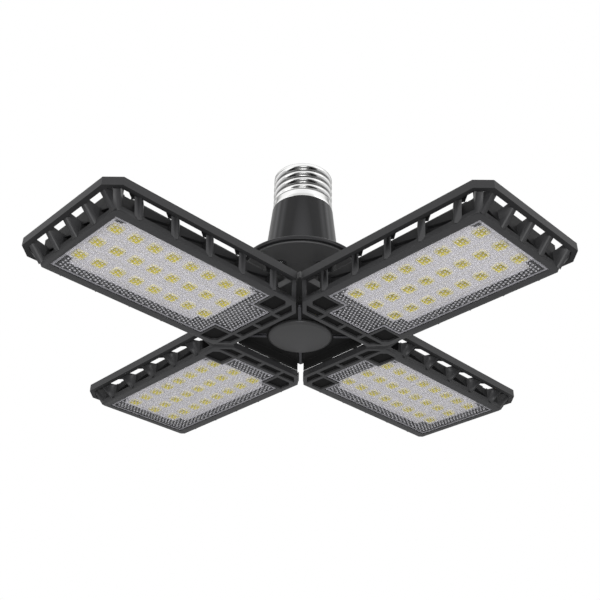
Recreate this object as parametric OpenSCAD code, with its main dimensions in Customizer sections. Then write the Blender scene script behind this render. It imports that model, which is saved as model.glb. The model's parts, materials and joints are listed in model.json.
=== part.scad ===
// Folding garage light: a screw base and driver housing over a hub that carries
// four hinged leaves, each a die-cast frame round a lens, an LED board and a heat sink.
// Origin: middle of the shoulder where the screw shell meets the housing, +Z up into the
// lampholder. Each leaf is drawn along +X from the hub and turned to its own azimuth.

/* [Screw base] */
// Diameter over the thread crests
shell_d = 26.4; // [24:0.1:28]
// Distance from one thread crest to the next
thread_pitch = 3.63; // [3:0.01:4]
// Number of thread crests
thread_crests = 4; // [3:1:5]
// Depth of the rolled thread
thread_depth = 1.1; // [0.8:0.1:1.4]
// Length of the smooth skirt below the thread
skirt_len = 3.2; // [2.5:0.1:5]
// Sheet thickness of the shell
shell_wall = 0.4; // [0.3:0.05:0.6]
// Height of the insulator above the shell
insulator_h = 4.2; // [3:0.1:6]
// Diameter of the centre contact
contact_d = 9.2; // [7:0.1:11]
// Height of the centre contact above the insulator
contact_h = 1.6; // [1:0.1:2.5]

/* [Driver housing] */
// Diameter of the housing at the screw shell
housing_top_d = 27; // [26:0.1:29]
// Diameter of the cone where it meets the flange
housing_bottom_d = 32.8; // [29:0.1:34]
// Height of the cone
cone_h = 29; // [26:0.5:36]
// Diameter of the flange
flange_d = 52.6; // [48:0.2:58]
// Height of the flange, from the cone down to its rim
flange_h = 3.3; // [2.8:0.1:5]
// Wall thickness of the housing
housing_wall = 1.8; // [1.4:0.1:2.4]

/* [Hub] */
// Height of the flange's underside above the front face of the open leaves
hub_h = 35.8; // [34:0.1:42]
// Diameter of the hub column
column_d = 18.2; // [17:0.1:21]
// Diameter of the wire way through the column
column_bore_d = 12; // [10:0.1:13]
// Thickness of the top plate, screwed up into the flange
top_plate_t = 1.6; // [1.4:0.1:2]
// Depth of the seat for the top plate inside the flange's rim
flange_seat = 1.2; // [0.8:0.1:1.3]
// Width of the flange's rim outside that seat
rim_w = 1.6; // [1.2:0.1:2]
// Height of the yoke's underside above the leaf front
yoke_z = 17.4; // [17.2:0.1:18.5]
// Thickness of the yoke
yoke_t = 3; // [2.5:0.1:4]
// Half width of the yoke's square middle
yoke_half = 18.4; // [17.6:0.1:19]
// Width of one yoke arm
arm_w = 3.2; // [2.6:0.1:3.6]
// Distance of the middle of an arm from the leaf's middle line
arm_v = 15.2; // [15:0.1:15.6]
// Half width of the square bottom plate
bottom_half = 19; // [17:0.1:19]
// Thickness of the bottom plate
bottom_t = 2.2; // [1.8:0.1:3]
// Height of the lower edge of the bottom plate's rim above the leaf front
bottom_rim_z = 1.9; // [1.7:0.1:2.4]
// Diameter of the round cap under the hub
cap_d = 26.6; // [22:0.2:28]
// Height of the cap's face above the leaf front
cap_z = 3.9; // [3:0.1:4.5]
// Thickness of the cap's disc
cap_t = 1.6; // [1.5:0.1:1.8]
// Distance of the hub screws from the column's side
screw_clear = 3.1; // [3:0.1:3.2]
// Thread diameter of the hub screws
hub_screw_d = 2.5; // [2:0.1:2.5]

/* [Hinge] */
// Distance of the hinge axis from the middle of the light
hinge_u = 31.5; // [31.2:0.1:32]
// Height of the hinge axis above the leaf front
hinge_z = 4.4; // [4.2:0.1:4.5]
// Diameter of the hinge pin
pin_d = 2.5; // [2:0.1:2.6]
// Outer diameter of the knuckles
knuckle_d = 5.4; // [4.8:0.1:5.6]
// Running clearance of the pin, on the radius
pin_clear = 0.05; // [0.02:0.01:0.1]
// Thickness of a friction washer
washer_t = 0.4; // [0.3:0.05:0.5]
// Thickness of a leaf lug
lug_t = 2; // [1.6:0.1:2.4]

/* [Leaf] */
// Azimuth of the first leaf
first_azimuth = 45; // [0:45:45]
// Distance of the leaf's inner edge from the middle of the light
leaf_u0 = 20.2; // [20.1:0.1:20.8]
// Width of the bezel beyond the lens's outer end
bezel_end = 2.6; // [2.2:0.1:4]
// Width of the bezel beside the lens
bezel_side = 3.7; // [3.1:0.1:4.5]
// Thickness of the bezel plate
bezel_t = 2.2; // [2:0.1:2.4]
// Room between a leaf and the diagonal to its neighbour, along the hub's side
diagonal_gap = 1.8; // [1.7:0.1:2.4]
// Width of the lens
lens_w = 41; // [40:0.1:41.6]
// Distance of the lens from the middle of the light
lens_u0 = 35.8; // [35.6:0.1:36.4]
// Length of the lens without its tab
lens_l = 69.4; // [62:0.2:86]
// Distance of the tab's inner edge from the middle of the light
tab_u0 = 27.4; // [27.2:0.1:27.8]
// Width of the tab
tab_w = 22.8; // [20:0.2:23]
// Thickness of the lens
lens_t = 1.5; // [1.2:0.1:1.6]
// Depth of the lens face behind the bezel face
lens_inset = 0.2; // [0.1:0.1:0.3]
// Clearance round the lens
lens_gap = 0.15; // [0.1:0.05:0.2]
// Thickness of the sealing ring
seal_t = 0.3; // [0.2:0.05:0.4]
// Width of the sealing ring
seal_w = 0.9; // [0.7:0.1:1]
// Thickness of the ledge behind the lens
ledge_t = 0.8; // [0.6:0.1:1]
// Width of the ledge under the lens's edge
ledge_w = 1; // [0.8:0.1:1.2]
// Height of the tray's side walls
wall_h = 7.1; // [6.8:0.1:8]
// Height of the tray's outer end wall
end_wall_h = 11; // [8:0.2:12]
// Thickness of the tray wall
wall_t = 1.6; // [1.2:0.1:1.8]
// Overhang of the bezel outside the tray wall
bezel_lip = 0.6; // [0.3:0.1:1]
// Distance of the rail's outer face from the bezel's side
rail_side = 5.8; // [5:0.1:6.2]
// Distance of the rail's outer face from the bezel's outer end
rail_end_gap = 7.2; // [5:0.2:9]
// Corner chamfer of the rail
rail_chamfer = 5; // [3:0.2:7]
// Width of the rail
rail_w = 2; // [1.6:0.1:2.6]
// Height of the rail's underside above the leaf front
rail_z0 = 5.6; // [5:0.1:6]
// Height of the rail's top above the leaf front
rail_z1 = 8.9; // [8.4:0.1:9.6]
// Thickness of a truss rib
rib_t = 2.4; // [1.8:0.1:3]
// Spacing of the truss ribs along the leaf
rib_pitch = 15.3; // [14:0.1:17]
// Distance of the outermost side rib from the bezel's outer end
rib_end = 9.2; // [8:0.2:12]
// Number of truss ribs on each side
side_ribs = 5; // [4:1:5]
// Slant of the side ribs towards the tip
rib_slant = 42; // [30:1:50]
// Spacing of the truss ribs across the outer end
end_rib_pitch = 11.2; // [10:0.1:12]
// Width of the lattice bars at the inner end
lattice_w = 1.6; // [1.2:0.1:1.8]
// Thickness of the leaf's inner end, with the lattice
lattice_t = 2; // [1.8:0.1:2]
// Depth of the lattice's pockets
pocket_depth = 0.8; // [0.5:0.1:0.8]
// Thickness of the web behind the pockets at the hinge
web_t = 0.5; // [0.4:0.05:0.5]
// Height of the lip along the leaf's inner edge
lip_h = 0.8; // [0.4:0.1:0.8]
// Width of the frame round the lattice
lattice_rim = 2.2; // [1.8:0.1:2.6]
// Distance of the lattice's cross bars from the middle line
cross_bar_v = 11.2; // [10:0.1:11.4]

/* [Electrics] */
// Thickness of the LED board
board_t = 1; // [0.8:0.1:1.2]
// Side of a square LED package
led_w = 5; // [3:0.1:5]
// Height of an LED package
led_h = 0.6; // [0.5:0.1:0.7]
// Distance of the first and last LEDs from the lens's ends
led_edge = 3.5; // [3:0.1:5]
// Distance of the outer LED rows from the board's sides
led_side = 8; // [7:0.1:9]
// Number of LEDs along a row
led_columns = 8; // [6:1:8]
// Thickness of the heat sink's plate
sink_t = 2; // [1.6:0.1:2.4]
// Height of the heat sink's fins above its plate
fin_h = 4.6; // [3:0.1:6]
// Thickness of one fin
fin_t = 1.2; // [0.8:0.1:1.6]
// Number of fins
fins = 9; // [7:2:11]
// Diameter of the leaf screws
leaf_screw_d = 2; // [1.6:0.1:2.2]
// Diameter of a lead over its sleeve
lead_d = 1.6; // [1.2:0.1:1.6]

/* [Hidden] */
$fn = 64;

// a small overlap that fuses two shapes of one piece
fuse = 0.1;
// the gap left between two pieces that lie face to face
face_gap = 0.05;
// a length past any face, for cutting right through
past = 1;

// heights of the housing, the hub and the leaf front below the origin
flange_z = -cone_h - flange_h;
leaf_z = flange_z - hub_h;

// height of the bottom plate above the leaf front: it rests on the cap
bottom_z = cap_z + cap_t + face_gap;

// thread: crests are arcs on a pitch, over a core
crest_r = shell_d / 2;
root_r = crest_r - thread_depth;
thread_h = thread_crests * thread_pitch;
shell_h = skirt_len + thread_h;

// leaf heights above the leaf front
lens_z1 = lens_inset + lens_t;
ledge_z0 = lens_z1 + seal_t + 2 * face_gap;
ledge_z1 = ledge_z0 + ledge_t;
board_z1 = ledge_z1 + 0.25 + board_t;
board_z0 = board_z1 - board_t;
sink_z0 = board_z1 + face_gap;
sink_z1 = sink_z0 + sink_t;

// leaf outlines across and along
lens_u1 = lens_u0 + lens_l;
bezel_u1 = lens_u1 + bezel_end;
bezel_half = lens_w / 2 + bezel_side;
rail_u1 = bezel_u1 + rail_end_gap;
rail_half = bezel_half + rail_side;
ledge_half = lens_w / 2 - ledge_w;
pocket_half = lens_w / 2 + lens_gap;
tab_half = tab_w / 2 + lens_gap;
wall_out = bezel_half - bezel_lip;
wall_in = wall_out - wall_t;
wall_u1 = bezel_u1 - bezel_lip;
wall_u0 = lens_u0 + 0.4;
sink_half = wall_in - lens_gap;
skirt_t = 1.1;
board_half = sink_half - skirt_t - 1.55;
led_pitch_u = (lens_l - 2 * led_edge - led_w) / (led_columns - 1);
led_pitch_v = board_half - led_side;
rail_in = rail_half - rail_w;
rail_end_in = rail_u1 - rail_w;
corner_u = bezel_half + diagonal_gap;
inner_half = leaf_u0 - diagonal_gap;
rail_u0 = rail_half + diagonal_gap - 0.45;
rail_lap = 3;

// hinge
pin_r = pin_d / 2;
bore_r = pin_r + pin_clear;
knuckle_r = knuckle_d / 2;
arm_out = arm_v + arm_w / 2;
arm_in = arm_v - arm_w / 2;
lug_out_v = arm_out + washer_t + 2 * face_gap;
lug_in_v = arm_in - 2 * face_gap - lug_t;
pin_half = lug_out_v + lug_t + 0.4;
arm_back = 1.2;
arm_front = 2.2;

// the hub screws' place and the top plate's outline
screw_r = column_d / 2 + screw_clear;
top_plate_r = flange_d / 2 - rim_w - 0.15;
top_plate_z1 = flange_z + flange_seat - face_gap;
top_plate_z0 = top_plate_z1 - top_plate_t;

// the leads between the driver and the leaves
lead_r = lead_d / 2;
lead_z = yoke_z + yoke_t + lead_r + 0.3;
lead_u = hinge_u + pin_r + lead_r + 0.25;
lead_split = wall_h + 0.8;
leaf_lead_z = ledge_z1 + lead_r + 0.5;

// ---------- placing ----------

module at_leaf(n) {
  rotate([0, 0, first_azimuth + 90 * (n - 1)])
    translate([0, 0, leaf_z]) children();
}

module both_sides() {
  children();
  mirror([0, 1, 0]) children();
}

module box(u0, u1, v0, v1, z0, z1) {
  translate([u0, v0, z0]) cube([u1 - u0, v1 - v0, z1 - z0]);
}

// ---------- screw base ----------

// outline of the rolled shell: the skirt, then a wave of crests and roots
function wave_r(z) = (crest_r + root_r) / 2 + (crest_r - root_r) / 2 * cos(360 * z / thread_pitch);
wave_steps = 8;
function wave_points(inset) = [
  for (i = [0 : thread_crests * wave_steps])
    let (z = i * thread_pitch / wave_steps) [wave_r(z) - inset, skirt_len + z]
];

module screw_shell() {
  top = shell_h;
  color("silver") rotate_extrude()
    polygon(concat([[crest_r, 0]], wave_points(0), [[crest_r - 2.6, top + 1.1]],
                   [[crest_r - 3.2, top + 0.7]],
                   [for (i = [thread_crests * wave_steps : -1 : 0]) wave_points(shell_wall)[i]],
                   [[crest_r - shell_wall, 0]]));
}

module base_insulator() {
  low_r = root_r - shell_wall - 0.3;
  top_r = contact_d / 2 + 0.9;
  z0 = shell_h - 3;
  color([0.08, 0.08, 0.09]) rotate_extrude()
    polygon([[1.4, z0], [low_r, z0], [low_r, shell_h - 1], [crest_r - 3.4, shell_h],
             [crest_r - 3.4, shell_h + 1.2], [top_r, shell_h + insulator_h],
             [contact_d / 2 - 1, shell_h + insulator_h], [contact_d / 2 - 1, shell_h + insulator_h - 0.8],
             [1.4, shell_h + insulator_h - 0.8]]);
}

module center_contact() {
  z0 = shell_h + insulator_h - 0.8 + face_gap;
  z1 = shell_h + insulator_h + face_gap;
  rim_r = contact_d / 2;
  color([0.75, 0.72, 0.62]) rotate_extrude()
    polygon([[0, z0], [rim_r - 1.1, z0], [rim_r - 1.1, z1], [rim_r, z1], [rim_r, z1 + 0.4],
             [rim_r * 0.8, z1 + contact_h * 0.6], [rim_r * 0.5, z1 + contact_h * 0.9],
             [0, z1 + contact_h]]);
}

// ---------- driver housing ----------

// the four screw places under the housing, clear of the driver board
module screw_places() {
  for (a = [45 : 90 : 315])
    rotate([0, 0, a]) translate([screw_r, 0, 0]) children();
}

module driver_housing() {
  top_r = housing_top_d / 2;
  low_r = housing_bottom_d / 2;
  rim_r = flange_d / 2;
  neck_r = crest_r - shell_wall - 0.1;
  seat_z = flange_z + flange_seat;
  ring_r = screw_r - hub_screw_d / 2 - 1;
  ring_z = seat_z + 5.4;
  color([0.12, 0.12, 0.13]) difference() {
    rotate_extrude()
      polygon([[neck_r - housing_wall, skirt_len - 0.4], [neck_r, skirt_len - 0.4], [neck_r, -face_gap],
               [top_r, -face_gap], [low_r, -cone_h], [low_r + 1, -cone_h - 0.4],
               [rim_r - 0.9, -cone_h - 1], [rim_r, -cone_h - 1.7], [rim_r, flange_z],
               [rim_r - rim_w, flange_z], [rim_r - rim_w, seat_z], [ring_r, seat_z], [ring_r, ring_z],
               [low_r - housing_wall - 0.3, ring_z + 1], [top_r - housing_wall - 0.3, -2]]);
    screw_places() translate([0, 0, seat_z - past]) cylinder(d = hub_screw_d + 0.1, h = 4.6 + past);
  }
}

board_x = 9.2;
board_half_t = 0.6;
board_top = -3.5;
board_low = flange_z + 3.6;
board_face = board_half_t + face_gap;
choke_d = 7.6;
choke_z = board_low + 5.8;
component_gap = 0.6;
capacitor_low = choke_z + choke_d / 2 + component_gap;
capacitor_top = board_top - 2;

module driver_board() {
  color([0.1, 0.35, 0.15]) translate([-board_x, -board_half_t, board_low])
    cube([2 * board_x, 2 * board_half_t, board_top - board_low]);
}

module transformer() {
  color([0.85, 0.75, 0.2]) translate([-5.5, board_face, board_low + 6]) {
    cube([11, 3, 10]);
    translate([1.2, 0, -1.5]) cube([8.6, 8, 13]);
    cube([11, 8, 2.4]);
    translate([0, 0, 7.6]) cube([11, 8, 2.4]);
  }
}

module capacitors() {
  color([0.15, 0.15, 0.2]) {
    translate([-3.6, -board_face - 4.1, capacitor_low]) cylinder(d = 8.2, h = capacitor_top - capacitor_low);
    translate([4.9, -board_face - 2.5, capacitor_low]) cylinder(d = 5, h = capacitor_top - capacitor_low - 4);
  }
}

module choke() {
  color([0.2, 0.2, 0.2]) translate([0, -board_face, choke_z]) rotate([90, 0, 0]) difference() {
    cylinder(d = choke_d, h = 4.4);
    translate([0, 0, -past]) cylinder(d = 2.6, h = 4.4 + 2 * past);
  }
}

// a lead to the centre contact, and one that bends out to the shell
module supply_leads() {
  contact_low = shell_h + insulator_h - 0.8;
  side_x = board_x - lead_r - 0.2;
  side_z = skirt_len + thread_pitch / 2;
  color([0.7, 0.1, 0.1]) {
    translate([0, 0, board_top + face_gap]) cylinder(r = lead_r, h = contact_low - board_top - face_gap);
    translate([side_x, 0, board_top + face_gap]) cylinder(r = lead_r, h = side_z - board_top - face_gap);
    translate([side_x, 0, side_z]) sphere(r = lead_r, $fn = 24);
    translate([side_x, 0, side_z]) rotate([0, 90, 0])
      cylinder(r = lead_r, h = root_r - shell_wall - 0.1 - side_x);
  }
}

// ---------- hub ----------

yoke_z1 = yoke_z + yoke_t;

// one yoke arm: out over the leaf's inner end, then down to its knuckle
module yoke_arm() {
  translate([0, arm_out, 0]) rotate([90, 0, 0]) linear_extrude(height = arm_w)
    polygon([[yoke_half - past, yoke_z], [hinge_u - arm_back, yoke_z], [hinge_u - arm_back, hinge_z],
             [hinge_u + arm_front, hinge_z], [hinge_u + arm_front, yoke_z1 - 2],
             [hinge_u + arm_front - 2, yoke_z1], [yoke_half - past, yoke_z1]]);
  translate([hinge_u, arm_out, hinge_z]) rotate([90, 0, 0]) cylinder(r = knuckle_r, h = arm_w);
}

module hub_body() {
  column_low = leaf_z + bottom_z + bottom_t + face_gap;
  foot_h = 3;
  color([0.2, 0.2, 0.21]) difference() {
    union() {
      translate([0, 0, top_plate_z0]) cylinder(r = top_plate_r, h = top_plate_t);
      translate([0, 0, column_low]) cylinder(d = column_d, h = top_plate_z0 - column_low + fuse);
      translate([0, 0, column_low]) cylinder(d = column_d + 7, h = foot_h);
      rotate([0, 0, first_azimuth])
        translate([-yoke_half, -yoke_half, leaf_z + yoke_z]) cube([2 * yoke_half, 2 * yoke_half, yoke_t]);
      for (n = [1 : 4])
        at_leaf(n) both_sides() yoke_arm();
    }
    translate([0, 0, leaf_z]) cylinder(d = column_bore_d, h = hub_h + flange_seat + past);
    screw_places() translate([0, 0, top_plate_z0 - past])
      cylinder(d = hub_screw_d + 0.3, h = top_plate_t + 2 * past);
    for (n = [1 : 4])
      at_leaf(n) {
        translate([hinge_u, pin_half, hinge_z]) rotate([90, 0, 0]) cylinder(r = bore_r, h = 2 * pin_half);
        translate([0, 0, lead_z]) rotate([0, 90, 0]) cylinder(r = lead_r + 0.3, h = column_d);
      }
  }
}

// the black square under the hub: a plate with a rim, which a slot opens at each corner
module bottom_plate() {
  fin_low = cap_z + 0.6;
  rim_in = bottom_half - 1.2;
  slot_w = diagonal_gap * sqrt(2);
  color([0.09, 0.09, 0.1]) translate([0, 0, leaf_z]) rotate([0, 0, first_azimuth]) difference() {
    union() {
      difference() {
        box(-bottom_half, bottom_half, -bottom_half, bottom_half, bottom_rim_z, bottom_z + bottom_t);
        box(-rim_in, rim_in, -rim_in, rim_in, 0, bottom_z);
        for (a = [45 : 90 : 315])
          rotate([0, 0, a]) box(bottom_half, 2 * bottom_half, -slot_w / 2, slot_w / 2, 0, bottom_z);
      }
      for (a = [45 : 90 : 315])
        rotate([0, 0, a]) translate([cap_d / 2 + 0.4, -0.7, fin_low])
          cube([rim_in * sqrt(2) - cap_d / 2 - 1.2, 1.4, bottom_z - fin_low + fuse]);
    }
    translate([0, 0, -past]) cylinder(d = column_bore_d, h = bottom_z + bottom_t + 2 * past);
  }
}

module hub_cap() {
  rim_r = cap_d / 2;
  stem_r = column_bore_d / 2 - 0.05;
  color([0.3, 0.3, 0.31]) translate([0, 0, leaf_z]) rotate_extrude()
    polygon([[0, cap_z - 0.5], [rim_r * 0.5, cap_z - 0.35], [rim_r * 0.85, cap_z], [rim_r, cap_z + 0.7],
             [rim_r, cap_z + cap_t], [stem_r, cap_z + cap_t], [stem_r, bottom_z + bottom_t + 3],
             [stem_r - 1.2, bottom_z + bottom_t + 3], [stem_r - 1.2, cap_z + cap_t], [0, cap_z + cap_t]]);
}

module hub_screws() {
  head_h = 1.5;
  head_d = hub_screw_d + 2.3;
  color([0.6, 0.6, 0.62]) screw_places() {
    translate([0, 0, top_plate_z0 - face_gap - fuse]) cylinder(d = hub_screw_d, h = top_plate_t + 4.2 + fuse);
    translate([0, 0, top_plate_z0 - face_gap - head_h]) difference() {
      cylinder(d = head_d, h = head_h);
      translate([0, 0, -past]) cylinder(d = 1.8, h = past + 0.9, $fn = 6);
    }
  }
}

// from the driver down the column, out over the yoke and down in front of the hinge pin
module output_leads() {
  at_board = board_face + lead_r;
  drop_r = at_board * sqrt(2);
  color([0.15, 0.15, 0.15]) for (n = [1 : 4])
    at_leaf(n) {
      translate([drop_r, 0, lead_z]) cylinder(r = lead_r, h = board_low + 1 - leaf_z - lead_z);
      translate([drop_r, 0, lead_z]) sphere(r = lead_r, $fn = 24);
      translate([drop_r, 0, lead_z]) rotate([0, 90, 0]) cylinder(r = lead_r, h = lead_u - drop_r);
      translate([lead_u, 0, lead_z]) sphere(r = lead_r, $fn = 24);
      translate([lead_u, 0, lead_split]) cylinder(r = lead_r, h = lead_z - lead_split);
    }
}

// ---------- leaf ----------

// outline of the bezel plate, chamfered to the diagonals at its inner end
module bezel_outline() {
  nib = 1.4;
  polygon([[leaf_u0, -inner_half], [corner_u, -bezel_half], [bezel_u1 - nib, -bezel_half],
           [bezel_u1, -bezel_half + nib], [bezel_u1, bezel_half - nib], [bezel_u1 - nib, bezel_half],
           [corner_u, bezel_half], [leaf_u0, inner_half]]);
}

// outline of the lens with its tab, grown by a clearance
module lens_outline(grow) {
  h = lens_w / 2 + grow;
  t = tab_w / 2 + grow;
  polygon([[tab_u0 - grow, -t], [lens_u0 - grow, -t], [lens_u0 - grow, -h], [lens_u1 + grow, -h],
           [lens_u1 + grow, h], [lens_u0 - grow, h], [lens_u0 - grow, t], [tab_u0 - grow, t]]);
}

// the perimeter rail's outline at a distance inside its outer face
module rail_outline(inset) {
  h = rail_half - inset;
  e = rail_u1 - inset;
  c = rail_chamfer - inset * 0.6;
  u0 = inset > 0 ? rail_u0 - past : rail_u0;
  polygon([[u0, -h], [e - c, -h], [e, -h + c], [e, h - c], [e - c, h], [u0, h]]);
}

// the end of the rail, cut along the diagonal
module rail_end() {
  polygon([[rail_u0, rail_half], [rail_u0 + rail_lap, rail_half], [rail_u0 + rail_lap, rail_in],
           [rail_u0 - rail_w, rail_in]]);
}

// the pockets of the lattice at the leaf's inner end
module lattice_pockets() {
  half_w = lattice_w / 2;
  u_a = leaf_u0 + lattice_w + 0.2;
  u_b = tab_u0 - lens_gap - lattice_w;
  slope = diagonal_gap + lattice_rim;
  polygon([[u_a, half_w], [u_b, half_w], [u_b, cross_bar_v - half_w], [u_a, cross_bar_v - half_w]]);
  polygon([[u_a, cross_bar_v + half_w], [u_b, cross_bar_v + half_w], [u_b, u_b - slope], [u_a, u_a - slope]]);
}

// the pocket beside the lens's tab, under the hinge
module hinge_pocket() {
  u_c = tab_u0 - lens_gap;
  u_d = lens_u0 - lens_gap - 0.9;
  win_v0 = arm_in - 0.6;
  win_v1 = bezel_half - lattice_rim;
  nook = 2;
  polygon([[u_c, win_v0], [u_d, win_v0], [u_d, win_v1], [u_c + nook, win_v1], [u_c, win_v1 - nook]]);
}

// a truss rib in its own plane: out from the tray wall and up to the rail, then into it
module rib_profile(inner, reach) {
  foot = bezel_lip + 0.1;
  end_z = rail_z0 + 0.2;
  linear_extrude(height = rib_t)
    polygon([[-0.8, bezel_t - fuse], [foot, 0.2], [inner, end_z], [reach, end_z], [reach, rail_z1 - 0.4],
             [0, wall_h - 0.1], [-0.8, wall_h - 0.1]]);
}

module side_rib(u) {
  inner = (rail_in - wall_out) / cos(rib_slant);
  lap = 0.2 / cos(rib_slant) + rib_t / 2 * tan(rib_slant);
  translate([u, wall_out, 0]) rotate([0, 0, 90 - rib_slant]) translate([0, rib_t / 2, 0])
    rotate([90, 0, 0]) rib_profile(inner, inner + lap);
}

module end_rib(v) {
  inner = rail_end_in - wall_u1;
  translate([wall_u1, v + rib_t / 2, 0]) rotate([90, 0, 0]) rib_profile(inner, inner + 0.8);
}

// a web that widens each side rib where it meets the rail
module rail_gusset(u) {
  lead = tan(rib_slant) * (rail_in - wall_out);
  translate([u + lead, rail_in + 0.3, rail_z0 + 0.5]) linear_extrude(height = rail_z1 - rail_z0 - 1.2)
    polygon([[-1.4, 0], [4.4, 0], [0.6, -3.2], [-1.8, -1.6]]);
}

// the trapezoid opening of one truss bay in the tray wall
module bay_cut(u0, u1) {
  z_low = bezel_t + 0.1;
  polygon([[u0, z_low], [u1, z_low], [u1, z_low + 1.1], [u0, wall_h - 1.6]]);
}

rib_places = [for (i = [0 : side_ribs - 1]) bezel_u1 - rib_end - i * rib_pitch];

module side_bays() {
  translate([0, wall_out + past, 0]) rotate([90, 0, 0]) linear_extrude(height = wall_t + 2 * past)
    for (u = rib_places)
      bay_cut(u - rib_pitch + rib_t, u - rib_t);
}

module end_bays() {
  half_bay = end_rib_pitch / 2 - rib_t * 0.7;
  translate([wall_u1 - wall_t - past, 0, 0]) rotate([90, 0, 90]) linear_extrude(height = wall_t + 2 * past)
    for (i = [-1.5 : 1 : 1.5])
      translate([i * end_rib_pitch, 0]) bay_cut(-half_bay, half_bay);
}

// the post that flares along the diagonal from the bezel's corner up to the rail's end
module corner_post() {
  post_t = 1.6;
  du = rail_u0 - corner_u;
  dv = rail_half - bezel_half;
  run = sqrt(du * du + dv * dv);
  translate([corner_u, bezel_half, 0]) rotate([0, 0, atan2(dv, du)]) rotate([90, 0, 0])
    linear_extrude(height = post_t)
      polygon([[-3.2, lattice_t - fuse], [-0.3, 0.1], [run - 0.6, rail_z0 + 0.3], [run - 0.6, rail_z1 - 0.3],
               [2.6, wall_h - 1], [-0.6, lattice_t]]);
}

// the brace at each outer corner, from the tray to the rail's chamfer
module tip_post() {
  start_u = wall_u1 - 1.2;
  start_v = wall_out - 1.2;
  inner = (rail_end_in + rail_in - rail_chamfer + rail_w * 0.6 - start_u - start_v) / sqrt(2);
  translate([start_u, start_v, 0]) rotate([0, 0, 45]) translate([0, rib_t / 2, 0])
    rotate([90, 0, 0]) rib_profile(inner, inner + 0.9);
}

module hinge_lug(v0) {
  translate([hinge_u, v0 + lug_t, hinge_z]) rotate([90, 0, 0]) cylinder(r = knuckle_r, h = lug_t);
  box(hinge_u - knuckle_r, hinge_u + knuckle_r, v0, v0 + lug_t, lattice_t - fuse, hinge_z);
}

boss_u = [lens_u0 + 3.6, lens_u1 - 3.6];
boss_v = sink_half - skirt_t - 3.05;

// the bezel plate with its lens pocket and its lattice, thinner where the arm swings over it
module bezel_plate() {
  difference() {
    linear_extrude(height = bezel_t) bezel_outline();
    translate([0, 0, -past]) linear_extrude(height = bezel_t + 2 * past) lens_outline(lens_gap);
    both_sides() translate([0, 0, -past]) linear_extrude(height = pocket_depth + past) {
      lattice_pockets();
      hinge_pocket();
    }
    both_sides() translate([0, 0, pocket_depth + web_t]) linear_extrude(height = bezel_t) hinge_pocket();
    box(0, lens_u0 - lens_gap - 0.9, -bezel_half - past, bezel_half + past, lattice_t, bezel_t + past);
  }
  box(leaf_u0, leaf_u0 + lattice_w, -inner_half, inner_half, lattice_t - fuse, lattice_t + lip_h);
}

// the ring that holds the lens, and the ledge behind it, closed behind the tab
module lens_ledge() {
  difference() {
    linear_extrude(height = ledge_z1) lens_outline(lens_gap + 0.9);
    translate([0, 0, -past]) linear_extrude(height = ledge_z0 + past) lens_outline(lens_gap);
    box(lens_u0 + ledge_w, lens_u1 - ledge_w, -ledge_half, ledge_half, 0, wall_h);
  }
}

module tray_wall() {
  difference() {
    union() {
      box(lens_u0 - lens_gap - 0.9, wall_u1, -wall_out, wall_out, bezel_t - fuse, wall_h);
      box(wall_u1 - wall_t, wall_u1, -wall_out, wall_out, bezel_t - fuse, end_wall_h);
    }
    box(wall_u0, wall_u1 - wall_t, -wall_in, wall_in, 0, wall_h + past);
    box(lens_u0 - past, lens_u0 + ledge_w + fuse, -ledge_half, ledge_half, 0, ledge_z0);
    both_sides() side_bays();
    end_bays();
  }
}

module rail() {
  translate([0, 0, rail_z0]) linear_extrude(height = rail_z1 - rail_z0) difference() {
    rail_outline(0);
    rail_outline(rail_w);
  }
  both_sides() translate([0, 0, rail_z0]) linear_extrude(height = rail_z1 - rail_z0) rail_end();
}

module leaf_frame() {
  lug_foot = bezel_half - lattice_rim;
  lug_reach = lug_in_v + lug_t;
  web_mid = pocket_depth + 0.1;
  boss_h = sink_z0 - ledge_z0 - fuse - face_gap;
  color([0.22, 0.22, 0.23]) difference() {
    union() {
      bezel_plate();
      lens_ledge();
      tray_wall();
      rail();
      for (u = boss_u)
        both_sides() translate([u, boss_v, ledge_z0 + fuse]) cylinder(r = 2.2, h = boss_h);
      both_sides() {
        for (u = rib_places) {
          side_rib(u);
          rail_gusset(u);
        }
        corner_post();
        tip_post();
        hinge_lug(lug_out_v);
        hinge_lug(lug_in_v);
        box(hinge_u - knuckle_r, hinge_u + knuckle_r, lug_out_v, lug_foot + 0.6, web_mid, lattice_t + 0.6);
      }
      for (i = [-2 : 1 : 2])
        end_rib(i * end_rib_pitch);
      box(hinge_u - knuckle_r, hinge_u + knuckle_r, -lug_reach, lug_reach, ledge_z0 + fuse, ledge_z1);
    }
    translate([hinge_u, pin_half + past, hinge_z]) rotate([90, 0, 0])
      cylinder(r = pin_r + 0.01, h = 2 * (pin_half + past));
    for (u = boss_u)
      both_sides() translate([u, boss_v, ledge_z0 + 0.6]) cylinder(d = leaf_screw_d + 0.1, h = wall_h);
    // way through the inner wall for the lead
    translate([lens_u0 - lens_gap - 0.9 - past, 0, leaf_lead_z]) rotate([0, 90, 0])
      cylinder(r = lead_r + 0.2, h = 1.3 + 2 * past);
  }
}

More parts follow.
